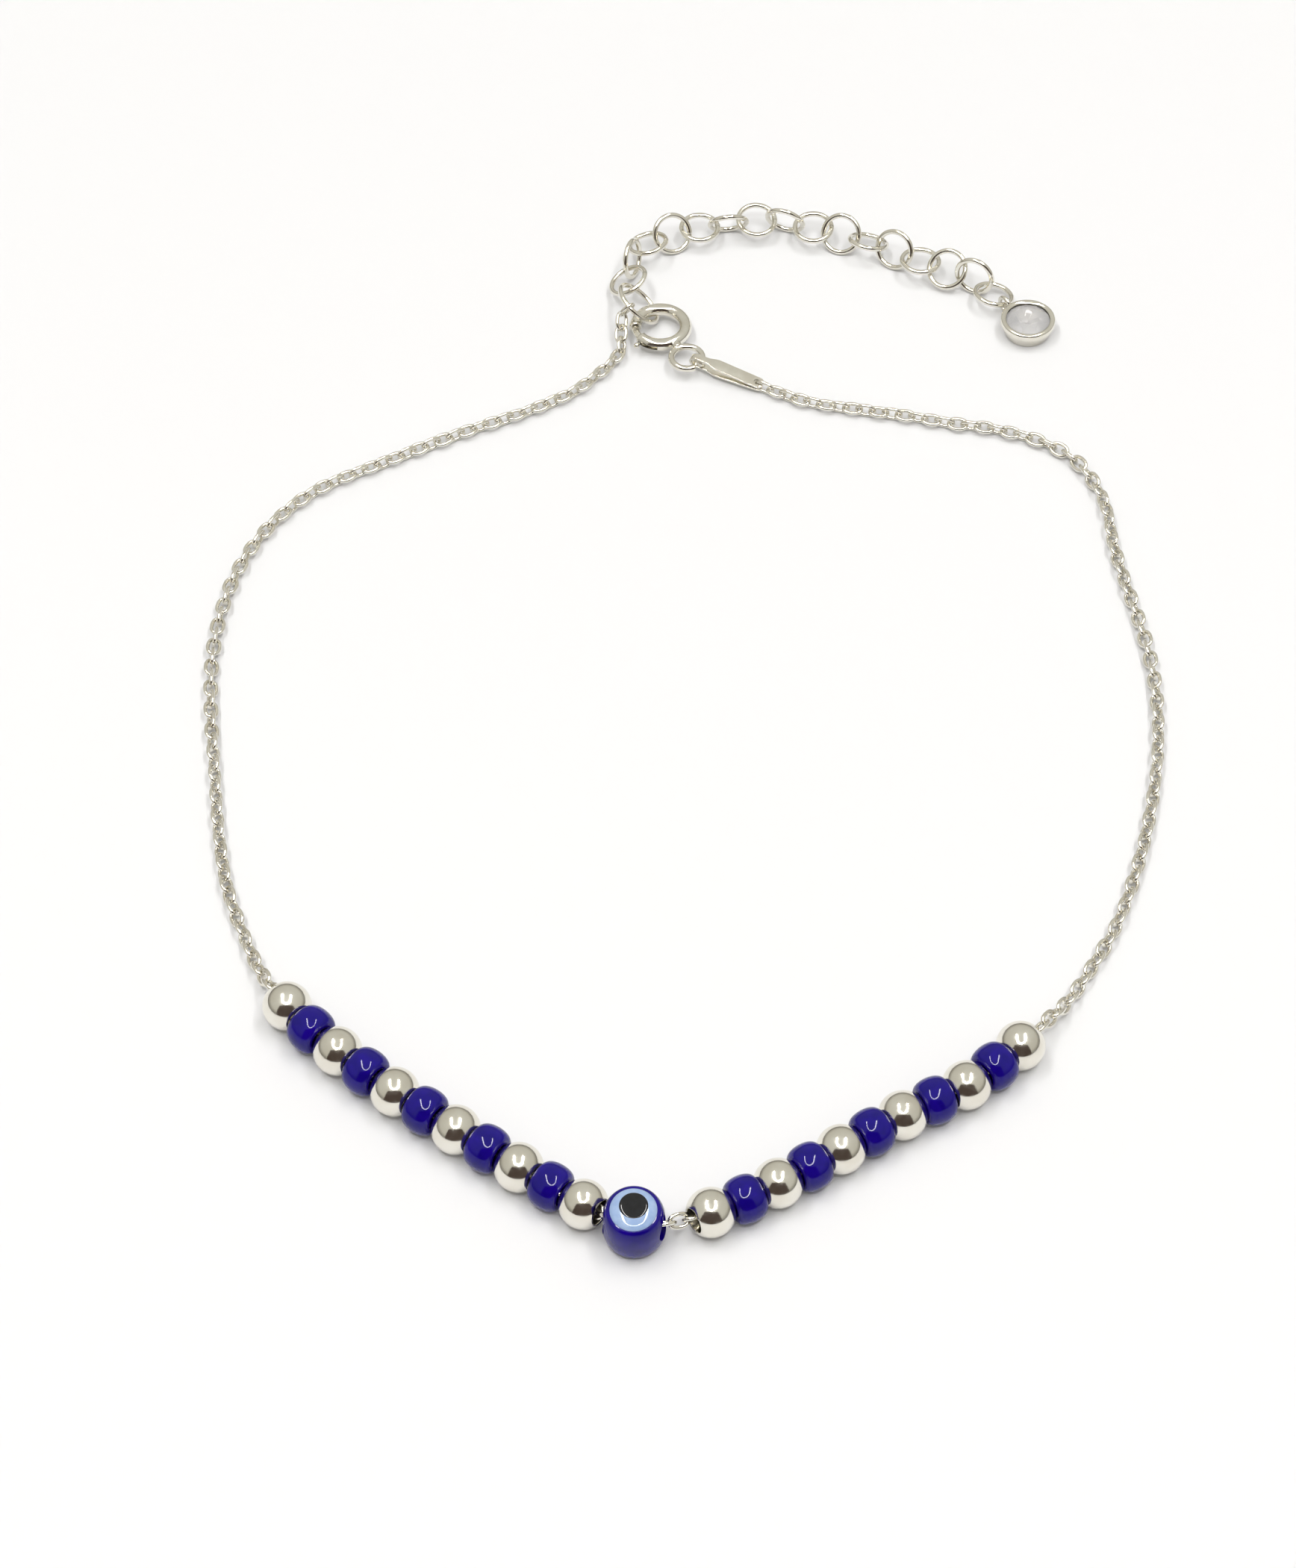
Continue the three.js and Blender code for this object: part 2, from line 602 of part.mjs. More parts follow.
// A round cut: a flat table, a crown of kites and triangles, a thin girdle and a pointed pavilion.
// Each level has its corners on a circle: a share of the stone's radius, and a turn in corner steps.
const STONE_LEVELS = [
  { share: 0.56, height: STONE_TABLE, corners: 8, turn: 0 },
  { share: 0.8, height: 1.61, corners: 8, turn: 0.5 },
  { share: 1, height: STONE_GIRDLE_TOP, corners: 16, turn: 0 },
  { share: 1, height: STONE_GIRDLE_BASE, corners: 16, turn: 0 },
  { share: 0.3, height: 0.57, corners: 8, turn: 0.5 },
  { share: 0, height: STONE_CULET, corners: 1, turn: 0 },
];

function stoneGeometry() {
  const points = [];
  for (const { share, height, corners, turn } of STONE_LEVELS) {
    for (let i = 0; i < corners; i += 1) {
      points.push(onHeading(STONE_DIAMETER / 2 * share, (i + turn) / corners * 360, height));
    }
  }
  return new ConvexGeometry(points);
}

const drop = new THREE.Group();
drop.position.copy(vector(DROP_CENTRE));
part.add(drop);
addPiece('drop_bezel', bezelGeometry(), SILVER, drop);
addPiece('drop_stone', stoneGeometry(), CLEAR, drop);

export default part;
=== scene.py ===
# Looks for a fastened anklet that lies on a pale floor: interlocking chain links, polished silver
# balls and findings, cobalt glass barrels, a glass eye bead and a cut stone in a bezel.
# Metres, +Z up, the floor at z = 0, the eye bead towards -Y.

import math
import random

import bmesh
import bpy
import numpy as np
from mathutils import Matrix, Vector


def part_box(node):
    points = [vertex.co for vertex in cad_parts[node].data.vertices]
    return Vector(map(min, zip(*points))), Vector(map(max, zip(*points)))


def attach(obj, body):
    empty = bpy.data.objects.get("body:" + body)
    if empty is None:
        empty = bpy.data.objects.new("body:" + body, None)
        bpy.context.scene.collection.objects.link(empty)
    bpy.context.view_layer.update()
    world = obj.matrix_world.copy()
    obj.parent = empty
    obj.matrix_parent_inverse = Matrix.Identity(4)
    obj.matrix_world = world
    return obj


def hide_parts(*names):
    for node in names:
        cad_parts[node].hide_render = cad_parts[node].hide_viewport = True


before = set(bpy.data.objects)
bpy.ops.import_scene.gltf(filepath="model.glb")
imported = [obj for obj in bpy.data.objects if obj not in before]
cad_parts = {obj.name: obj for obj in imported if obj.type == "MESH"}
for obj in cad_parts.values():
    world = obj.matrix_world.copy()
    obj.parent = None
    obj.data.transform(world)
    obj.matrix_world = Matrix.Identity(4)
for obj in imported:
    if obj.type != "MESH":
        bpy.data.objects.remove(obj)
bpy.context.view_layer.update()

BODY = "anklet"
BOLT_BODY = "bolt"

# The photograph's view

IMAGE_HEIGHT = 2101
FOCAL_PIXELS = 6000
SENSOR = 36.0
CAMERA_PLACE = (-0.00265, -0.22185, 0.2532)
CAMERA_PITCH = 50.0

# Sizes of the beads

BALL_DIAMETER = 0.0035
BEAD_BORE = 0.0018
BORE_ROUNDING = 0.00008
BARREL_DIAMETER = 0.0034
BARREL_HALF = 0.00112
BARREL_END_RADIUS = 0.00100
BARREL_FULLNESS = 0.72
BEAD_AXIS_HEIGHT = BALL_DIAMETER / 2
BEAD_SIDES = 72
BEADS_PER_RUN = 11
# Beads that hang askew on the chain, in degrees about the upright.
BEAD_SWINGS = {"ball_right_1": 10.0}

EYE_HOLE = 0.0022
EYE_HOLE_HEIGHT = 0.0020
EYE_HOLE_LENGTH = 0.006
EYE_TILT = 8.0
EYE_SETBACK = 0.00036
EYE_LIFT = 0.00012
EYE_SIDES = 96
IRIS_RADIUS = 0.00165
PUPIL_RADIUS = 0.0010
PUPIL_OFFSET = 0.00015

# Sizes of the chain

CHAIN_REST = 0.00061
CHAIN_PITCH = 0.00106
CHAIN_LINK_LENGTH = 0.00172
CHAIN_LINK_WIDTH = 0.00122
CHAIN_WIRE = 0.0003
CHAIN_LINK_SQUARENESS = 0.86
CHAIN_LINK_STEPS = 30
CHAIN_WIRE_SIDES = 10

# Sizes of the clasp, its tag and the rings

CLASP_CENTRE = Vector((-0.00165, 0.03765, 0.0011))
CLASP_RADIUS = 0.00202
CLASP_TUBE = 0.0010
CLASP_BORE = 0.00074
CLASP_GAP = (183.0, 218.0)
BOLT_DIAMETER = 0.00058
BOLT_ARC = (184.5, 232.0)
BORE_ARC = (217.0, 268.0)
SLOT_ARC = (224.0, 264.5)
SLOT_HEIGHT = 0.00036
NUB_ANGLE = 228.0
NUB_STEM = 0.00024
NUB_REACH = 0.00085
NUB_HEAD = 0.00046

TAIL_DISTANCE = 0.0041
TAIL_HEADING = -59.0
TAIL_RADIUS = 0.00125
TAIL_WIRE = 0.00054
TAIL_ARC = (-40.0, 300.0)
SOLDER_NECK = 0.00084

TAG_HEADING = -25.0
TAG_DIP = 5.0
TAG_ROLL = 8.0
TAG_BEND = -0.00036
TAG_PARALLEL_END = 0.00065
TAG_LENGTH = 0.00535
TAG_LEAF = 0.0002
TAG_FOLD_OFFSET = 0.00049
TAG_END_OFFSET = 0.00015
TAG_NECK_WIDTH = 0.00056
TAG_NECK_END = 0.0006
TAG_SHOULDER_END = 0.0013
TAG_WIDTH = 0.0010
TAG_CORNER = 0.00035
TAG_HOLE = 0.0005
TAG_HOLE_AT = 0.00485

LINK_RADIUS = 0.0015
LINK_WIRE = 0.00042
LINK_COUNT = 15
END_RING_RADIUS = 0.00195
RING_SEAM = 0.00003
RING_STEPS = 72
WIRE_SIDES = 18

# Sizes of the drop

DROP_CENTRE = Vector((0.0279, 0.0382, 0.0))
BEZEL_SIDES = 96
DROP_LOOP_HEADING = 128.0
DROP_LOOP_DISTANCE = 0.00275
DROP_LOOP_RADIUS = 0.00062
DROP_LOOP_WIRE = 0.00036
DROP_LOOP_HEIGHT = 0.00095
STONE_RADIUS = 0.0018
STONE_CORNERS = 8
FACET_ANGLE = math.radians(1)

# Where the string runs: from the end ring round the left side to the eye bead, then to the tag

END_RING_HOOK = (-0.00416, 0.03838, 0.0026)
LEFT_ROUTE = [
    (-0.00465, 0.0382, 0.0020),
    (-0.0048, 0.0369, 0.0012),
    (-0.0048, 0.0356, 0.00075),
    (-0.0054, 0.0343, CHAIN_REST),
    (-0.0067, 0.0327, CHAIN_REST),
    (-0.0086, 0.0308, CHAIN_REST),
    (-0.0123, 0.0286, CHAIN_REST),
    (-0.0172, 0.0263, CHAIN_REST),
    (-0.0230, 0.0232, CHAIN_REST),
    (-0.0282, 0.0202, CHAIN_REST),
    (-0.0310, 0.0174, CHAIN_REST),
    (-0.0330, 0.0142, CHAIN_REST),
    (-0.0344, 0.0105, CHAIN_REST),
    (-0.0352, 0.0065, CHAIN_REST),
    (-0.0355, 0.0020, CHAIN_REST),
    (-0.0352, -0.0035, CHAIN_REST),
    (-0.0346, -0.0090, CHAIN_REST),
    (-0.0339, -0.0150, CHAIN_REST),
    (-0.0330, -0.0198, CHAIN_REST),
    (-0.0316, -0.0240, CHAIN_REST),
    (-0.0303, -0.0273, 0.0009),
    (-0.0288, -0.0302, BEAD_AXIS_HEIGHT),
    (-0.0272, -0.0323, BEAD_AXIS_HEIGHT),
    (-0.0244, -0.0351, BEAD_AXIS_HEIGHT),
    (-0.0203, -0.0386, BEAD_AXIS_HEIGHT),
    (-0.0159, -0.0419, BEAD_AXIS_HEIGHT),
    (-0.0116, -0.0450, BEAD_AXIS_HEIGHT),
    (-0.0071, -0.0481, BEAD_AXIS_HEIGHT),
]
EYE_PLACE = (-0.0036, -0.0502, 0.00232)
RIGHT_ROUTE = [
    (0.0014, -0.0489, 0.00177),
    (0.0064, -0.0463, BEAD_AXIS_HEIGHT),
    (0.0107, -0.0435, BEAD_AXIS_HEIGHT),
    (0.0151, -0.0406, BEAD_AXIS_HEIGHT),
    (0.0195, -0.0381, BEAD_AXIS_HEIGHT),
    (0.0231, -0.0350, BEAD_AXIS_HEIGHT),
    (0.0252, -0.0327, BEAD_AXIS_HEIGHT),
    (0.0270, -0.0302, 0.00085),
    (0.0289, -0.0270, CHAIN_REST),
    (0.0310, -0.0230, CHAIN_REST),
    (0.0332, -0.0165, CHAIN_REST),
    (0.0344, -0.0113, CHAIN_REST),
    (0.0351, -0.0068, CHAIN_REST),
    (0.0354, -0.0020, CHAIN_REST),
    (0.0352, 0.0025, CHAIN_REST),
    (0.0346, 0.0065, CHAIN_REST),
    (0.0338, 0.0106, CHAIN_REST),
    (0.0332, 0.0145, CHAIN_REST),
    (0.0330, 0.0175, CHAIN_REST),
    (0.0323, 0.0204, CHAIN_REST),
    (0.0306, 0.0235, CHAIN_REST),
    (0.0282, 0.0253, CHAIN_REST),
    (0.0245, 0.0267, CHAIN_REST),
    (0.0213, 0.0273, CHAIN_REST),
    (0.0174, 0.0282, CHAIN_REST),
    (0.0142, 0.0288, CHAIN_REST),
    (0.0100, 0.0297, CHAIN_REST),
    (0.00685, 0.03117, CHAIN_REST),
]
TAG_HOOK = (0.00597, 0.03157, 0.00068)

# How the chain is twisted: distance along it from the end ring, and the lean of every second link
# in degrees, where 0 lies flat. The links between them lean a quarter turn more.
CHAIN_TWIST = [
    (0.000, -55.0),
    (0.006, 0.0),
    (0.048, 0.0),
    (0.062, 38.0),
    (0.085, 48.0),
    (0.150, 44.0),
    (0.178, 52.0),
    (0.192, 24.0),
    (0.205, 62.0),
    (0.215, 14.0),
    (0.230, 0.0),
]
TWIST_SPREAD = 7.0
TWIST_SEED = 7

# Lamp, floor and the dark card that the metal mirrors

LAMP_HEIGHT = 1.2
LAMP_HALF_WIDTH = 0.4
LAMP_NEAR = -0.62
LAMP_FAR = 0.4
LAMP_BORE = 0.08
LAMP_GLOW = 27.0
LAMP_COLOUR = (1.0, 0.985, 0.96)
LAMP_SIDES = 16
LAMP_BEND_STEPS = 33
CARD_DISTANCE = -0.75
CARD_HALF_WIDTH = 0.75
CARD_TOP = 1.12
CARD_COLOUR = (0.075, 0.055, 0.046)
FLOOR_HALF = 4.0
FLOOR_COLOUR = (0.665, 0.67, 0.695)
FLOOR_ROUGHNESS = 0.6
FLOOR_SHINE = 0.2

# Shape helpers

WORK_SCALE = 1000.0
SHARP_ANGLE = math.radians(40)
REMESH_VOXEL = 0.034
REMESH_SMOOTHING = 8
SMOOTHING_FACTOR = 0.5
PROFILE_SAMPLES = 8
TUBE_END_SHARE = 0.9
WIRE_END_SHARE = 0.72


def mesh_from(vertices, faces):
    mesh = bpy.data.meshes.new("shape")
    mesh.from_pydata([tuple(vertex) for vertex in vertices], [], faces)
    work = bmesh.new()
    work.from_mesh(mesh)
    bmesh.ops.recalc_face_normals(work, faces=work.faces)
    work.to_mesh(mesh)
    work.free()
    return mesh


def lathe(profile, sides):
    """A turned solid about Z. The profile starts and ends on the axis, or closes on itself."""
    on_axis = profile[0][0] == 0
    rows = profile[1:-1] if on_axis else profile[:-1]
    angles = np.linspace(0, 2 * math.pi, sides, endpoint=False)
    vertices = [(r * math.cos(a), r * math.sin(a), h) for r, h in rows for a in angles]
    bands = len(rows) - 1 if on_axis else len(rows)
    faces = []
    for band in range(bands):
        lower = band * sides
        upper = (band + 1) % len(rows) * sides
        for i in range(sides):
            j = (i + 1) % sides
            faces.append((lower + i, lower + j, upper + j, upper + i))
    if on_axis:
        foot = len(vertices)
        top = (len(rows) - 1) * sides
        vertices += [(0, 0, profile[0][1]), (0, 0, profile[-1][1])]
        for i in range(sides):
            j = (i + 1) % sides
            faces.append((foot, j, i))
            faces.append((foot + 1, top + i, top + j))
    return mesh_from(vertices, faces)


def smooth_profile(points):
    """A profile through the points with rounded turns."""
    return [tuple(point) for point in catmull_rom(np.array(points, float), PROFILE_SAMPLES)]


def arc(radius, start, stop, count, centre=(0.0, 0.0)):
    """Points on a circle in XY, between two angles in degrees."""
    angles = np.radians(np.linspace(start, stop, count))
    x = centre[0] + radius * np.cos(angles)
    y = centre[1] + radius * np.sin(angles)
    return np.column_stack([x, y, np.zeros(count)])


def round_section(diameter, sides):
    angles = np.linspace(0, 2 * math.pi, sides, endpoint=False)
    return np.column_stack([np.cos(angles), np.sin(angles)]) * diameter / 2


def tube_arrays(points, sections, normal, closed=False):
    """Vertices and faces of a section swept along a flat path, with flat ends unless it is closed.
    There is one section for the whole path, or one for each point."""
    points = np.asarray(points, float)
    count = len(points)
    sections = np.broadcast_to(sections, (count, *np.shape(sections)[-2:]))
    sides = sections.shape[1]
    if closed:
        tangents = np.roll(points, -1, axis=0) - np.roll(points, 1, axis=0)
    else:
        tangents = np.gradient(points, axis=0)
    tangents /= np.linalg.norm(tangents, axis=1)[:, None]
    normal = np.asarray(normal, float)
    across = np.cross(tangents, normal)
    vertices = points[:, None] + sections[:, :, :1] * across[:, None] + sections[:, :, 1:] * normal
    faces = []
    for k in range(count if closed else count - 1):
        here = k * sides
        there = (k + 1) % count * sides
        for i in range(sides):
            j = (i + 1) % sides
            faces.append((here + i, here + j, there + j, there + i))
    if not closed:
        faces.append(tuple(range(sides)))
        faces.append(tuple(range((count - 1) * sides, count * sides)))
    return vertices.reshape(-1, 3), faces


def tube(points, sections, normal=(0, 0, 1), closed=False):
    return mesh_from(*tube_arrays(points, sections, normal, closed))


def blunt(section, count, share):
    """The section once for each of count points, smaller at both ends, for a wire's cut ends."""
    scales = np.ones(count)
    scales[[0, -1]] = share
    return section[None] * scales[:, None, None]


def ball(diameter, sides):
    angles = np.linspace(-math.pi / 2, math.pi / 2, sides // 2 + 1)
    profile = [(diameter / 2 * math.cos(a), diameter / 2 * math.sin(a)) for a in angles]
    profile[0] = (0, profile[0][1])
    profile[-1] = (0, profile[-1][1])
    return lathe(profile, sides)


def moved(mesh, *matrices):
    for matrix in matrices:
        mesh.transform(matrix)
    return mesh


def turn(degrees, axis):
    return Matrix.Rotation(math.radians(degrees), 4, axis)


def heading_vector(distance, heading, height=0.0):
    angle = math.radians(heading)
    return Vector((distance * math.cos(angle), distance * math.sin(angle), height))


def work_object(mesh):
    mesh.transform(Matrix.Scale(WORK_SCALE, 4))
    piece = bpy.data.objects.new("work", mesh)
    bpy.context.scene.collection.objects.link(piece)
    return piece


def with_modifier(mesh, kind, **settings):
    """The mesh after one modifier, worked out in millimetres, because small voxels need that."""
    piece = work_object(mesh)
    modifier = piece.modifiers.new("work", kind)
    for key, value in settings.items():
        setattr(modifier, key, value)
    bpy.context.view_layer.update()
    evaluated = piece.evaluated_get(bpy.context.evaluated_depsgraph_get())
    made = bpy.data.meshes.new_from_object(evaluated)
    made.transform(Matrix.Scale(1 / WORK_SCALE, 4))
    bpy.data.objects.remove(piece)
    return made


def combine(base, tool, operation):
    helper = work_object(tool)
    made = with_modifier(base, "BOOLEAN", object=helper, operation=operation, solver="EXACT")
    bpy.data.objects.remove(helper)
    return made


def soldered(*meshes):
    """Several solids run together into one skin with small fillets, as solder leaves them."""
    made = meshes[0]
    for mesh in meshes[1:]:
        made = combine(made, mesh, "UNION")
    made = with_modifier(made, "REMESH", mode="VOXEL", voxel_size=REMESH_VOXEL)
    return with_modifier(made, "SMOOTH", factor=SMOOTHING_FACTOR, iterations=REMESH_SMOOTHING)


def add_piece(name, mesh, slot, nodes, body=BODY, place=Matrix.Identity(4), sharp=SHARP_ANGLE):
    mesh.name = name
    mesh.transform(place)
    mesh.shade_smooth()
    mesh.set_sharp_from_angle(angle=sharp)
    mesh.materials.clear()
    mesh.materials.append(LOOKS[slot])
    piece = bpy.data.objects.new(name, mesh)
    bpy.context.scene.collection.objects.link(piece)
    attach(piece, body)
    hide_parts(*nodes)


# The string's curve

SPAN_SAMPLES = 40


def catmull_rom(points, samples):
    """A centripetal Catmull-Rom curve through the points, with samples to each span."""
    ends = [2 * points[0] - points[1], *points, 2 * points[-1] - points[-2]]
    steps = np.linspace(0, 1, samples, endpoint=False)[:, None]
    curve = []
    for p0, p1, p2, p3 in zip(ends, ends[1:], ends[2:], ends[3:]):
        d0, d1, d2 = (math.sqrt(np.linalg.norm(b - a)) for a, b in ((p0, p1), (p1, p2), (p2, p3)))
        slope1 = ((p1 - p0) / d0 - (p2 - p0) / (d0 + d1) + (p2 - p1) / d1) * d1
        slope2 = ((p2 - p1) / d1 - (p3 - p1) / (d1 + d2) + (p3 - p2) / d2) * d1
        square = -3 * p1 + 3 * p2 - 2 * slope1 - slope2
        cube = 2 * p1 - 2 * p2 + slope1 + slope2
        curve.append(p1 + slope1 * steps + square * steps**2 + cube * steps**3)
    return np.vstack([*curve, points[-1:]])


route = np.array([END_RING_HOOK, *LEFT_ROUTE, EYE_PLACE, *RIGHT_ROUTE, TAG_HOOK])
string = catmull_rom(route, SPAN_SAMPLES)
string_steps = np.linalg.norm(np.diff(string, axis=0), axis=1)
string_distance = np.concatenate([[0], np.cumsum(string_steps)])
string_tangent = np.gradient(string, axis=0)
string_tangent /= np.linalg.norm(string_tangent, axis=1)[:, None]


def along_string(distance, values):
    return np.array([np.interp(distance, string_distance, column) for column in values.T])


def string_direction(place):
    """The string's direction where it passes nearest to a place."""
    return Vector(string_tangent[np.argmin(np.linalg.norm(string - place, axis=1))])


# Materials

TONE_SPAN = (0.35, 0.65)
NOISE_SPAN = (0.3, 0.7)


def start_material(name, colour, roughness, metallic=0.0):
    material = bpy.data.materials.new(name)
    material.use_nodes = True
    shader = material.node_tree.nodes["Principled BSDF"]
    shader.inputs["Base Color"].default_value = (*colour, 1)
    shader.inputs["Roughness"].default_value = roughness
    shader.inputs["Metallic"].default_value = metallic
    return material, material.node_tree, shader


def noise(tree, scale, detail):
    """Noise that is fixed to the piece, with about scale features to the metre."""
    place = tree.nodes.new("ShaderNodeTexCoord")
    texture = tree.nodes.new("ShaderNodeTexNoise")
    texture.inputs["Scale"].default_value = scale
    texture.inputs["Detail"].default_value = detail
    tree.links.new(place.outputs["Object"], texture.inputs["Vector"])
    return texture.outputs["Fac"]


def tones(tree, factor, first, second):
    """Two tones that run into each other over the middle of a noise."""
    ramp = tree.nodes.new("ShaderNodeValToRGB")
    for stop, position, colour in zip(ramp.color_ramp.elements, TONE_SPAN, (first, second)):
        stop.position = position
        stop.color = (*colour, 1)
    tree.links.new(factor, ramp.inputs["Fac"])
    return ramp.outputs["Color"]


def between(tree, factor, low, high):
    span = tree.nodes.new("ShaderNodeMapRange")
    span.inputs["From Min"].default_value = NOISE_SPAN[0]
    span.inputs["From Max"].default_value = NOISE_SPAN[1]
    span.inputs["To Min"].default_value = low
    span.inputs["To Max"].default_value = high
    tree.links.new(factor, span.inputs["Value"])
    return span.outputs["Result"]


def roughen(tree, shader, height, strength, distance):
    bump = tree.nodes.new("ShaderNodeBump")
    bump.inputs["Strength"].default_value = strength
    bump.inputs["Distance"].default_value = distance
    tree.links.new(height, bump.inputs["Height"])
    tree.links.new(bump.outputs["Normal"], shader.inputs["Normal"])


def silver_material():
    colour = (0.80, 0.775, 0.695)
    material, tree, shader = start_material("silver_look", colour, roughness=0.14, metallic=1.0)
    tone = tones(tree, noise(tree, scale=650, detail=3), (0.77, 0.74, 0.655), (0.83, 0.81, 0.735))
    tree.links.new(tone, shader.inputs["Base Color"])
    gloss = between(tree, noise(tree, scale=2600, detail=4), low=0.09, high=0.19)
    tree.links.new(gloss, shader.inputs["Roughness"])
    roughen(tree, shader, noise(tree, scale=5200, detail=3), strength=0.05, distance=0.00002)
    return material


def cobalt_material():
    material, tree, shader = start_material("cobalt_glass_look", (0.005, 0.0003, 0.15), roughness=0.05)
    tone = tones(tree, noise(tree, scale=900, detail=2), (0.004, 0.0002, 0.13), (0.007, 0.0005, 0.175))
    tree.links.new(tone, shader.inputs["Base Color"])
    gloss = between(tree, noise(tree, scale=3000, detail=2), low=0.03, high=0.08)
    tree.links.new(gloss, shader.inputs["Roughness"])
    shader.inputs["IOR"].default_value = 1.52
    shader.inputs["Specular IOR Level"].default_value = 0.3
    roughen(tree, shader, noise(tree, scale=1500, detail=2), strength=0.06, distance=0.00003)
    return material


def pale_material():
    material, tree, shader = start_material("pale_glass_look", (0.27, 0.37, 0.57), roughness=0.08)
    tone = tones(tree, noise(tree, scale=1400, detail=3), (0.24, 0.34, 0.55), (0.30, 0.40, 0.59))
    tree.links.new(tone, shader.inputs["Base Color"])
    gloss = between(tree, noise(tree, scale=3000, detail=2), low=0.04, high=0.1)
    tree.links.new(gloss, shader.inputs["Roughness"])
    shader.inputs["IOR"].default_value = 1.52
    return material


def black_material():
    material, tree, shader = start_material("black_glass_look", (0.003, 0.0035, 0.005), roughness=0.06)
    tone = tones(tree, noise(tree, scale=1600, detail=3), (0.002, 0.0025, 0.004), (0.005, 0.006, 0.008))
    tree.links.new(tone, shader.inputs["Base Color"])
    gloss = between(tree, noise(tree, scale=3200, detail=2), low=0.05, high=0.12)
    tree.links.new(gloss, shader.inputs["Roughness"])
    shader.inputs["IOR"].default_value = 1.52
    return material


def stone_material():
    material, tree, shader = start_material("clear_stone_look", (0.95, 0.95, 0.98), roughness=0.0)
    gloss = between(tree, noise(tree, scale=1200, detail=2), low=0.0, high=0.012)
    tree.links.new(gloss, shader.inputs["Roughness"])
    shader.inputs["IOR"].default_value = 1.8
    shader.inputs["Transmission Weight"].default_value = 0.72
    return material


SILVER = "silver"
COBALT = "cobalt_glass"
PALE_BLUE = "pale_glass"
BLACK = "black_glass"
CLEAR = "clear_stone"
LOOKS = {
    SILVER: silver_material(),
    COBALT: cobalt_material(),
    PALE_BLUE: pale_material(),
    BLACK: black_material(),
    CLEAR: stone_material(),
}

# Chain: oval links along the string, each a quarter turn from its neighbours

def chain_link_path():
    """The middle line of one oval link, its length along X."""
    angles = np.linspace(0, 2 * math.pi, CHAIN_LINK_STEPS, endpoint=False)
    cosine = np.cos(angles)
    sine = np.sin(angles)
    x = (CHAIN_LINK_LENGTH - CHAIN_WIRE) / 2 * np.sign(cosine) * np.abs(cosine) ** CHAIN_LINK_SQUARENESS
    y = (CHAIN_LINK_WIDTH - CHAIN_WIRE) / 2 * np.sign(sine) * np.abs(sine) ** CHAIN_LINK_SQUARENESS
    return np.column_stack([x, y, np.zeros(CHAIN_LINK_STEPS)])


def chain_link_places():
    """Centre, direction and lean of every link, from the end ring to the tag."""
    reach = CHAIN_LINK_LENGTH / 2 - CHAIN_WIRE
    first = reach - LINK_WIRE / 2
    last = string_distance[-1] - (CHAIN_LINK_LENGTH - CHAIN_WIRE) / 2
    count = round((last - first) / CHAIN_PITCH)
    count += 1 - count % 2
    distances = np.linspace(first, last, count + 1)
    twist_at, twist = np.array(CHAIN_TWIST).T
    spread = random.Random(TWIST_SEED)
    places = []
    for i, distance in enumerate(distances):
        lean = np.interp(distance, twist_at, twist) + 90 * (i % 2)
        lean += spread.uniform(-TWIST_SPREAD, TWIST_SPREAD)
        places.append((along_string(distance, string), along_string(distance, string_tangent), lean))
    return places


def add_chain():
    path = chain_link_path()
    section = round_section(CHAIN_WIRE, CHAIN_WIRE_SIDES)
    link_vertices, link_faces = tube_arrays(path, section, (0, 0, 1), closed=True)
    places = chain_link_places()
    eye = np.array(EYE_PLACE)
    middle = min(range(len(places)), key=lambda i: np.linalg.norm(places[i][0] - eye))
    for side, stretch in (("left", places[:middle]), ("right", places[middle:])):
        vertices = []
        faces = []
        for centre, direction, lean in stretch:
            level = np.cross(direction, (0, 0, 1))
            level /= np.linalg.norm(level)
            upright = np.cross(level, direction)
            angle = math.radians(lean)
            across = math.cos(angle) * level + math.sin(angle) * upright
            axes = np.array([direction, across, np.cross(direction, across)])
            start = len(vertices) * len(link_vertices)
            vertices.append(centre + link_vertices @ axes)
            faces += [tuple(start + corner for corner in face) for face in link_faces]
        mesh = mesh_from(np.vstack(vertices), faces)
        add_piece(f"chain_{side}_links", mesh, SILVER, [f"chain_{side}"])


add_chain()

# Silver balls and blue barrels, drilled along the string

BALL_BANDS = 45
BARREL_BANDS = 41
MOUTH_STEPS = 4
MOUTH_REACH = 1.5


def rounded_mouth(radius, height):
    """The turn from a bead's end into its bore, at one end."""
    angles = np.radians(np.linspace(90, 180, MOUTH_STEPS))
    return [(radius + BORE_ROUNDING * (1 + math.cos(a)), height + BORE_ROUNDING * (math.sin(a) - 1))
            for a in angles]


def drilled(outside):
    """A closed profile: the outside from foot to top, a rounded mouth, the bore and the other mouth."""
    bore = BEAD_BORE / 2
    top = rounded_mouth(bore, outside[-1][1])
    foot = [(r, -h) for r, h in reversed(top)]
    profile = [*outside, *top, *foot]
    return [*profile, profile[0]]


def ball_profile():
    radius = BALL_DIAMETER / 2
    edge = math.asin((BEAD_BORE / 2 + BORE_ROUNDING * MOUTH_REACH) / radius)
    angles = np.linspace(math.pi - edge, edge, BALL_BANDS)
    return drilled([(radius * math.sin(a), radius * math.cos(a)) for a in angles])


def barrel_profile():
    bulge = BARREL_DIAMETER / 2 - BARREL_END_RADIUS
    angles = np.linspace(-math.pi / 2, math.pi / 2, BARREL_BANDS)
    return drilled([
        (BARREL_END_RADIUS + bulge * math.cos(a) ** BARREL_FULLNESS, BARREL_HALF * math.sin(a))
        for a in angles
    ])


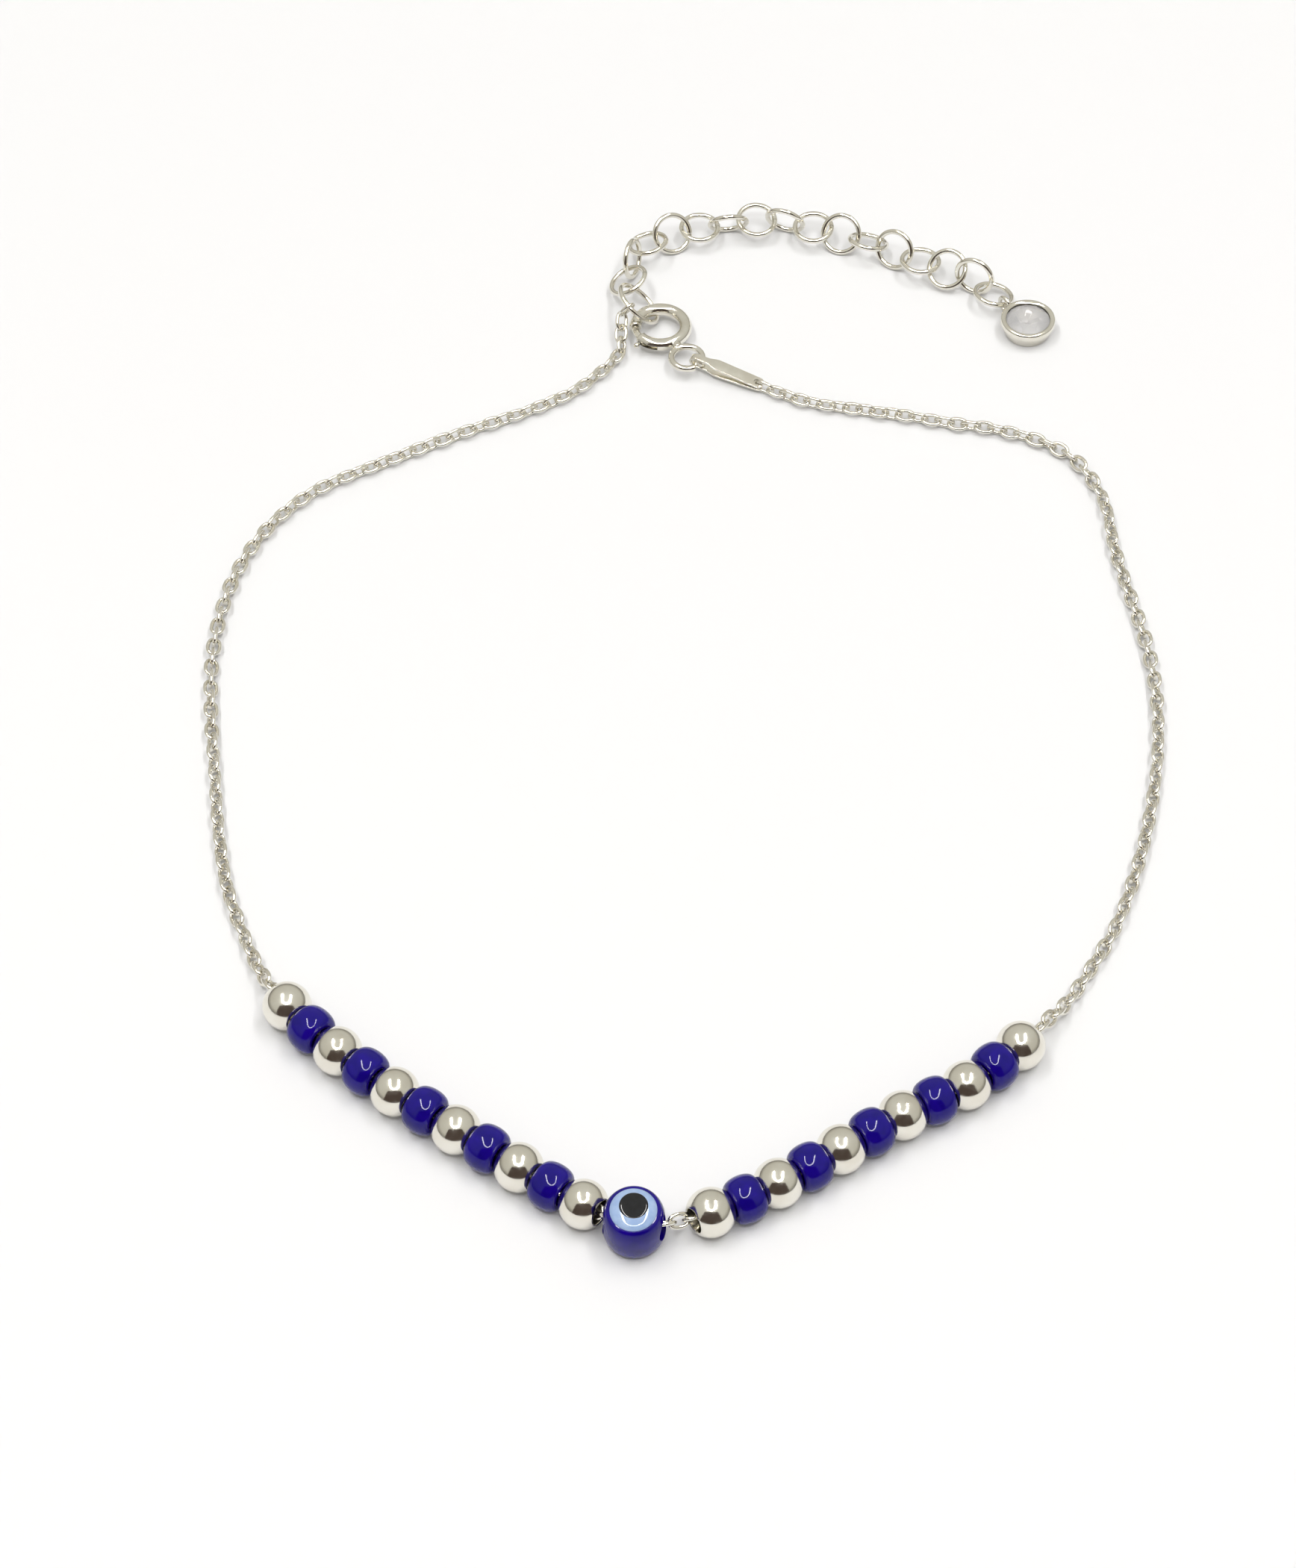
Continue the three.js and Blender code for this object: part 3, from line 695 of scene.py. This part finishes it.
def add_beads():
    for side in ("left", "right"):
        for i in range(BEADS_PER_RUN):
            is_ball = i % 2 == 0
            number = i // 2 + 1
            node = f"ball_{side}_{number}" if is_ball else f"blue_{side}_{number}"
            low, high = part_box(node)
            centre = (low + high) / 2
            direction = turn(BEAD_SWINGS.get(node, 0.0), "Z") @ string_direction(centre)
            place = Matrix.Translation(centre) @ direction.to_track_quat("Z", "Y").to_matrix().to_4x4()
            mesh = lathe(ball_profile() if is_ball else barrel_profile(), BEAD_SIDES)
            add_piece(f"{node}_bead", mesh, SILVER if is_ball else COBALT, [node], place=place)


add_beads()

# Eye bead: a rounded drum with a pale lens and a dark lens let into its top

DRUM_PROFILE = [
    (0.00140, 0.00000),
    (0.00182, 0.00014),
    (0.00208, 0.00060),
    (0.00220, 0.00130),
    (0.00220, 0.00215),
    (0.00212, 0.00285),
    (0.00199, 0.00335),
    (0.00184, 0.00361),
    (0.00168, 0.00371),
]
IRIS_DOME = [
    (IRIS_RADIUS, 0.00364),
    (0.00157, 0.00377),
    (0.00132, 0.00393),
    (0.00075, 0.004065),
    (0.0, 0.00411),
]
PUPIL_DOME = [
    (PUPIL_RADIUS, 0.00396),
    (0.00098, 0.00404),
    (0.00090, 0.00408),
    (0.00060, 0.004115),
    (0.0, 0.00414),
]
LENS_FOOT = 0.00341
LENS_FOOT_SHARE = 0.97
SEAT_DEPTH = 0.00356


def eye_place():
    direction = string_direction(np.array(EYE_PLACE))
    heading = math.degrees(math.atan2(direction.y, direction.x))
    middle = Matrix.Translation(Vector(EYE_PLACE) + Vector((0, EYE_SETBACK, -EYE_LIFT)))
    lowered = Matrix.Translation((0, 0, -EYE_HOLE_HEIGHT))
    return middle @ turn(heading, "Z") @ turn(EYE_TILT, "X") @ lowered


def lens(dome):
    foot_radius = dome[0][0] * LENS_FOOT_SHARE
    return lathe([(0, LENS_FOOT), (foot_radius, LENS_FOOT), *smooth_profile(dome)], EYE_SIDES)


def add_eye():
    place = eye_place()
    drum = lathe([(0, 0), *smooth_profile(DRUM_PROFILE), (0, SEAT_DEPTH)], EYE_SIDES)
    hole_ends = [(-EYE_HOLE_LENGTH / 2, 0, 0), (EYE_HOLE_LENGTH / 2, 0, 0)]
    hole = tube(hole_ends, round_section(EYE_HOLE, EYE_SIDES))
    moved(hole, Matrix.Translation((0, 0, EYE_HOLE_HEIGHT)))
    add_piece("eye_bead_drum", combine(drum, hole, "DIFFERENCE"), COBALT, ["eye_bead"], place=place)
    add_piece("eye_iris_lens", lens(IRIS_DOME), PALE_BLUE, ["eye_iris"], place=place)
    pupil = moved(lens(PUPIL_DOME), Matrix.Translation((0, PUPIL_OFFSET, 0)))
    add_piece("eye_pupil_lens", pupil, BLACK, ["eye_pupil"], place=place)


add_eye()

# Spring ring with its soldered tail loop, and the bolt that slides in it

CLASP_SIDES = 40
CLASP_STEPS = 120
NECK_STEPS = 5


def clasp_mesh():
    ring_points = arc(CLASP_RADIUS, CLASP_GAP[1], CLASP_GAP[0] + 360, CLASP_STEPS)
    ring = tube(ring_points, blunt(round_section(CLASP_TUBE, CLASP_SIDES), CLASP_STEPS, TUBE_END_SHARE))
    tail_points = arc(TAIL_RADIUS, *TAIL_ARC, CLASP_STEPS, heading_vector(TAIL_DISTANCE, TAIL_HEADING))
    tail = tube(tail_points, blunt(round_section(TAIL_WIRE, CLASP_SIDES), CLASP_STEPS, WIRE_END_SHARE))
    neck_distances = np.linspace(CLASP_RADIUS, TAIL_DISTANCE - TAIL_RADIUS, NECK_STEPS)
    neck_points = [heading_vector(distance, TAIL_HEADING) for distance in neck_distances]
    neck = tube(neck_points, round_section(SOLDER_NECK, CLASP_SIDES))
    body = soldered(ring, neck, tail)
    bore = tube(arc(CLASP_RADIUS, *BORE_ARC, CLASP_STEPS), round_section(CLASP_BORE, CLASP_SIDES))
    body = combine(body, bore, "DIFFERENCE")
    slot_section = np.array([(0, -1), (1, -1), (1, 1), (0, 1)]) * (CLASP_TUBE, SLOT_HEIGHT / 2)
    slot = tube(arc(CLASP_RADIUS, *SLOT_ARC, CLASP_STEPS), slot_section)
    return combine(body, slot, "DIFFERENCE")


def bolt_mesh():
    rod_points = arc(CLASP_RADIUS, *BOLT_ARC, CLASP_STEPS)
    rod = tube(rod_points, blunt(round_section(BOLT_DIAMETER, CLASP_SIDES), CLASP_STEPS, TUBE_END_SHARE))
    stem_ends = [heading_vector(CLASP_RADIUS + reach, NUB_ANGLE) for reach in (0, NUB_REACH)]
    stem = tube(stem_ends, round_section(NUB_STEM, CLASP_SIDES))
    head = moved(ball(NUB_HEAD, CLASP_SIDES), Matrix.Translation(stem_ends[1]))
    return combine(combine(rod, stem, "UNION"), head, "UNION")


clasp_place = Matrix.Translation(CLASP_CENTRE)
add_piece("clasp_ring_body", clasp_mesh(), SILVER, ["clasp_ring"], place=clasp_place)
add_piece("clasp_bolt_rod", bolt_mesh(), SILVER, ["clasp_bolt"], body=BOLT_BODY, place=clasp_place)

# Tag: a strip folded round the tail loop, its two leaves closing towards the chain

TAG_EDGE = 0.00006
TAG_EDGE_STEPS = 5
TAG_LEAF_STEPS = 40
TAG_NECK_STEPS = 8
TAG_FOLD_STEPS = 25


def tag_half_width(x):
    width = np.interp(x, (TAG_NECK_END, TAG_SHOULDER_END), (TAG_NECK_WIDTH, TAG_WIDTH))
    past = max(0.0, x - (TAG_LENGTH - TAG_CORNER))
    return width / 2 - TAG_CORNER + math.sqrt(max(0.0, TAG_CORNER**2 - past**2))


def tag_section(half_width):
    """A flat section with rounded edges: its thickness first, then its width."""
    thick = TAG_LEAF / 2 - TAG_EDGE
    wide = half_width - TAG_EDGE
    corners = [(thick, wide, 0), (-thick, wide, 90), (-thick, -wide, 180), (thick, -wide, 270)]
    section = []
    for a, b, start in corners:
        for angle in np.radians(np.linspace(start, start + 90, TAG_EDGE_STEPS)):
            section.append((a + TAG_EDGE * math.cos(angle), b + TAG_EDGE * math.sin(angle)))
    return section


def tag_mesh():
    leaf_x = TAG_LENGTH - (TAG_LENGTH - TAG_PARALLEL_END) * np.linspace(0, 1, TAG_LEAF_STEPS) ** 2
    leaf_z = np.interp(leaf_x, (TAG_PARALLEL_END, TAG_LENGTH), (TAG_FOLD_OFFSET, TAG_END_OFFSET))
    neck_x = np.linspace(TAG_PARALLEL_END, TAG_BEND, TAG_NECK_STEPS, endpoint=False)[1:]
    upper = [*zip(leaf_x, leaf_z), *((x, TAG_FOLD_OFFSET) for x in neck_x)]
    angles = np.radians(np.linspace(90, 270, TAG_FOLD_STEPS))
    fold = [(TAG_BEND + TAG_FOLD_OFFSET * math.cos(a), TAG_FOLD_OFFSET * math.sin(a)) for a in angles]
    lower = [(x, -z) for x, z in reversed(upper)]
    path = [(x, 0, z) for x, z in (*upper, *fold, *lower)]
    sections = np.array([tag_section(tag_half_width(x)) for x, _, _ in path])
    strip = tube(path, sections, normal=(0, 1, 0))
    drill_ends = [(TAG_HOLE_AT, 0, -TAG_FOLD_OFFSET), (TAG_HOLE_AT, 0, TAG_FOLD_OFFSET)]
    drill = tube(drill_ends, round_section(TAG_HOLE, CLASP_SIDES), normal=(0, 1, 0))
    return combine(strip, drill, "DIFFERENCE")


tail_centre = CLASP_CENTRE + heading_vector(TAIL_DISTANCE, TAIL_HEADING)
tag_turn = turn(TAG_HEADING, "Z") @ turn(TAG_ROLL, "X") @ turn(TAG_DIP, "Y")
tag_place = Matrix.Translation(tail_centre + heading_vector(TAIL_RADIUS, TAG_HEADING)) @ tag_turn
add_piece("clasp_tag_strip", tag_mesh(), SILVER, ["clasp_tag"], place=tag_place)

# Extender links and the two jump rings, each a bent wire with a fine seam, where the CAD rings are

def ring_place(node):
    points = np.array([vertex.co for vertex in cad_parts[node].data.vertices])
    centre = points.mean(axis=0)
    normal = Vector(np.linalg.svd(points - centre, full_matrices=False)[2][2])
    if normal.z < 0:
        normal.negate()
    level = (Vector((1, 0, 0)) - normal.x * normal).normalized()
    turned = Matrix((level, normal.cross(level), normal)).transposed()
    return Matrix.Translation(centre) @ turned.to_4x4()


def add_ring(node, radius):
    seam = math.degrees(RING_SEAM / radius)
    points = arc(radius, seam / 2, 360 - seam / 2, RING_STEPS)
    mesh = tube(points, round_section(LINK_WIRE, WIRE_SIDES))
    add_piece(f"{node}_wire", mesh, SILVER, [node], place=ring_place(node))


for link in range(1, LINK_COUNT + 1):
    add_ring(f"extender_link_{link:02d}", LINK_RADIUS)
add_ring("end_ring", END_RING_RADIUS)
add_ring("drop_ring", LINK_RADIUS)

# Drop: a bezel cup with a small loop, and a round cut stone under its lip

BEZEL_PROFILE = [
    (0.0, 0.0),
    (0.00166, 0.0),
    (0.00174, 0.00003),
    (0.00178, 0.00010),
    (0.00212, 0.00098),
    (0.00220, 0.00122),
    (0.00220, 0.00142),
    (0.00217, 0.00151),
    (0.00210, 0.00158),
    (0.00200, 0.00160),
    (0.00186, 0.00157),
    (0.00177, 0.00150),
    (0.00184, 0.00136),
    (0.00186, 0.00114),
    (0.0, 0.00023),
]

# Levels of the stone: share of its radius, height, corners, and turn in corner steps.
STONE_LEVELS = [
    (0.56, 0.00180, STONE_CORNERS, 0.0),
    (0.80, 0.001597, STONE_CORNERS, 0.5),
    (1.00, 0.00130, STONE_CORNERS * 2, 0.0),
    (1.00, 0.00120, STONE_CORNERS * 2, 0.0),
    (0.30, 0.00057, STONE_CORNERS, 0.5),
    (0.00, 0.00035, 1, 0.0),
]


def bezel_mesh():
    cup = lathe(BEZEL_PROFILE, BEZEL_SIDES)
    loop_points = arc(DROP_LOOP_RADIUS, 0, 360, RING_STEPS)[:-1]
    loop = tube(loop_points, round_section(DROP_LOOP_WIRE, WIRE_SIDES), closed=True)
    middle = heading_vector(DROP_LOOP_DISTANCE, DROP_LOOP_HEADING, DROP_LOOP_HEIGHT)
    moved(loop, turn(90, "X"), turn(DROP_LOOP_HEADING, "Z"), Matrix.Translation(middle))
    return combine(cup, loop, "UNION")


def stone_mesh():
    work = bmesh.new()
    for share, height, corners, step in STONE_LEVELS:
        for i in range(corners):
            work.verts.new(heading_vector(STONE_RADIUS * share, (i + step) / corners * 360, height))
    bmesh.ops.convex_hull(work, input=work.verts)
    bmesh.ops.dissolve_limit(work, angle_limit=FACET_ANGLE, verts=work.verts, edges=work.edges)
    mesh = bpy.data.meshes.new("stone")
    work.to_mesh(mesh)
    work.free()
    return mesh


drop_place = Matrix.Translation(DROP_CENTRE)
add_piece("drop_bezel_cup", bezel_mesh(), SILVER, ["drop_bezel"], place=drop_place)
add_piece("drop_stone_cut", stone_mesh(), CLEAR, ["drop_stone"], place=drop_place, sharp=0.0)

# Stage: pale floor, a bent lamp tube above it, and a dark card by the camera

def glow_material(name, colour, strength):
    material = bpy.data.materials.new(name)
    material.use_nodes = True
    tree = material.node_tree
    tree.nodes.clear()
    emission = tree.nodes.new("ShaderNodeEmission")
    emission.inputs["Color"].default_value = (*colour, 1)
    emission.inputs["Strength"].default_value = strength
    output = tree.nodes.new("ShaderNodeOutputMaterial")
    tree.links.new(emission.outputs["Emission"], output.inputs["Surface"])
    return material


def add_stage(name, mesh, material):
    mesh.materials.append(material)
    piece = bpy.data.objects.new(name, mesh)
    bpy.context.scene.collection.objects.link(piece)
    return piece


def sheet(corners):
    return mesh_from(corners, [(0, 1, 2, 3)])


def add_floor():
    material, _, shader = start_material("floor", FLOOR_COLOUR, FLOOR_ROUGHNESS)
    shader.inputs["Specular IOR Level"].default_value = FLOOR_SHINE
    far = FLOOR_HALF
    floor = sheet([(-far, -far, 0), (far, -far, 0), (far, far, 0), (-far, far, 0)])
    add_stage("floor", floor, material)


def add_lamp():
    bend = arc(LAMP_HALF_WIDTH, 180, 360, LAMP_BEND_STEPS, (0, LAMP_NEAR + LAMP_HALF_WIDTH))
    ends = [(-LAMP_HALF_WIDTH, LAMP_FAR, 0), (LAMP_HALF_WIDTH, LAMP_FAR, 0)]
    lamp = tube([ends[0], *bend, ends[1]], round_section(LAMP_BORE, LAMP_SIDES))
    moved(lamp, Matrix.Translation((0, 0, LAMP_HEIGHT)))
    add_stage("lamp", lamp, glow_material("lamp", LAMP_COLOUR, LAMP_GLOW)).visible_camera = False


def add_card():
    wide = CARD_HALF_WIDTH
    card = sheet([
        (-wide, CARD_DISTANCE, 0), (wide, CARD_DISTANCE, 0),
        (wide, CARD_DISTANCE, CARD_TOP), (-wide, CARD_DISTANCE, CARD_TOP),
    ])
    piece = add_stage("card", card, glow_material("card", CARD_COLOUR, 1.0))
    piece.visible_camera = False
    piece.visible_diffuse = False
    piece.visible_shadow = False


# The room's tones by height: the direction's share from straight down to straight up.
ROOM_TONES = [
    (0.49, (0.55, 0.55, 0.54)),
    (0.505, (0.10, 0.09, 0.08)),
    (0.55, (0.30, 0.285, 0.25)),
    (0.66, (0.58, 0.565, 0.51)),
    (1.0, (0.68, 0.665, 0.61)),
]
ROOM_SEEN = (0.9, 0.9, 0.89)


def add_room():
    world = bpy.data.worlds.new("room")
    bpy.context.scene.world = world
    world.use_nodes = True
    tree = world.node_tree
    tree.nodes.clear()
    place = tree.nodes.new("ShaderNodeTexCoord")
    split = tree.nodes.new("ShaderNodeSeparateXYZ")
    height = tree.nodes.new("ShaderNodeMapRange")
    height.inputs["From Min"].default_value = -1.0
    ramp = tree.nodes.new("ShaderNodeValToRGB")
    stops = ramp.color_ramp.elements
    while len(stops) < len(ROOM_TONES):
        stops.new(1.0)
    for stop, (position, colour) in zip(stops, ROOM_TONES):
        stop.position = position
        stop.color = (*colour, 1)
    room = tree.nodes.new("ShaderNodeBackground")
    seen = tree.nodes.new("ShaderNodeBackground")
    seen.inputs["Color"].default_value = (*ROOM_SEEN, 1)
    ray = tree.nodes.new("ShaderNodeLightPath")
    mix = tree.nodes.new("ShaderNodeMixShader")
    output = tree.nodes.new("ShaderNodeOutputWorld")
    tree.links.new(place.outputs["Generated"], split.inputs["Vector"])
    tree.links.new(split.outputs["Z"], height.inputs["Value"])
    tree.links.new(height.outputs["Result"], ramp.inputs["Fac"])
    tree.links.new(ramp.outputs["Color"], room.inputs["Color"])
    tree.links.new(ray.outputs["Is Camera Ray"], mix.inputs["Fac"])
    tree.links.new(room.outputs["Background"], mix.inputs[1])
    tree.links.new(seen.outputs["Background"], mix.inputs[2])
    tree.links.new(mix.outputs["Shader"], output.inputs["Surface"])


def add_camera():
    data = bpy.data.cameras.new("camera")
    data.sensor_width = SENSOR
    data.lens = FOCAL_PIXELS / IMAGE_HEIGHT * SENSOR
    camera = bpy.data.objects.new("camera", data)
    camera.location = CAMERA_PLACE
    camera.rotation_euler = (math.radians(90 - CAMERA_PITCH), 0, 0)
    bpy.context.scene.collection.objects.link(camera)
    bpy.context.scene.camera = camera


add_floor()
add_lamp()
add_card()
add_room()
add_camera()
bpy.context.scene.view_settings.view_transform = "Standard"
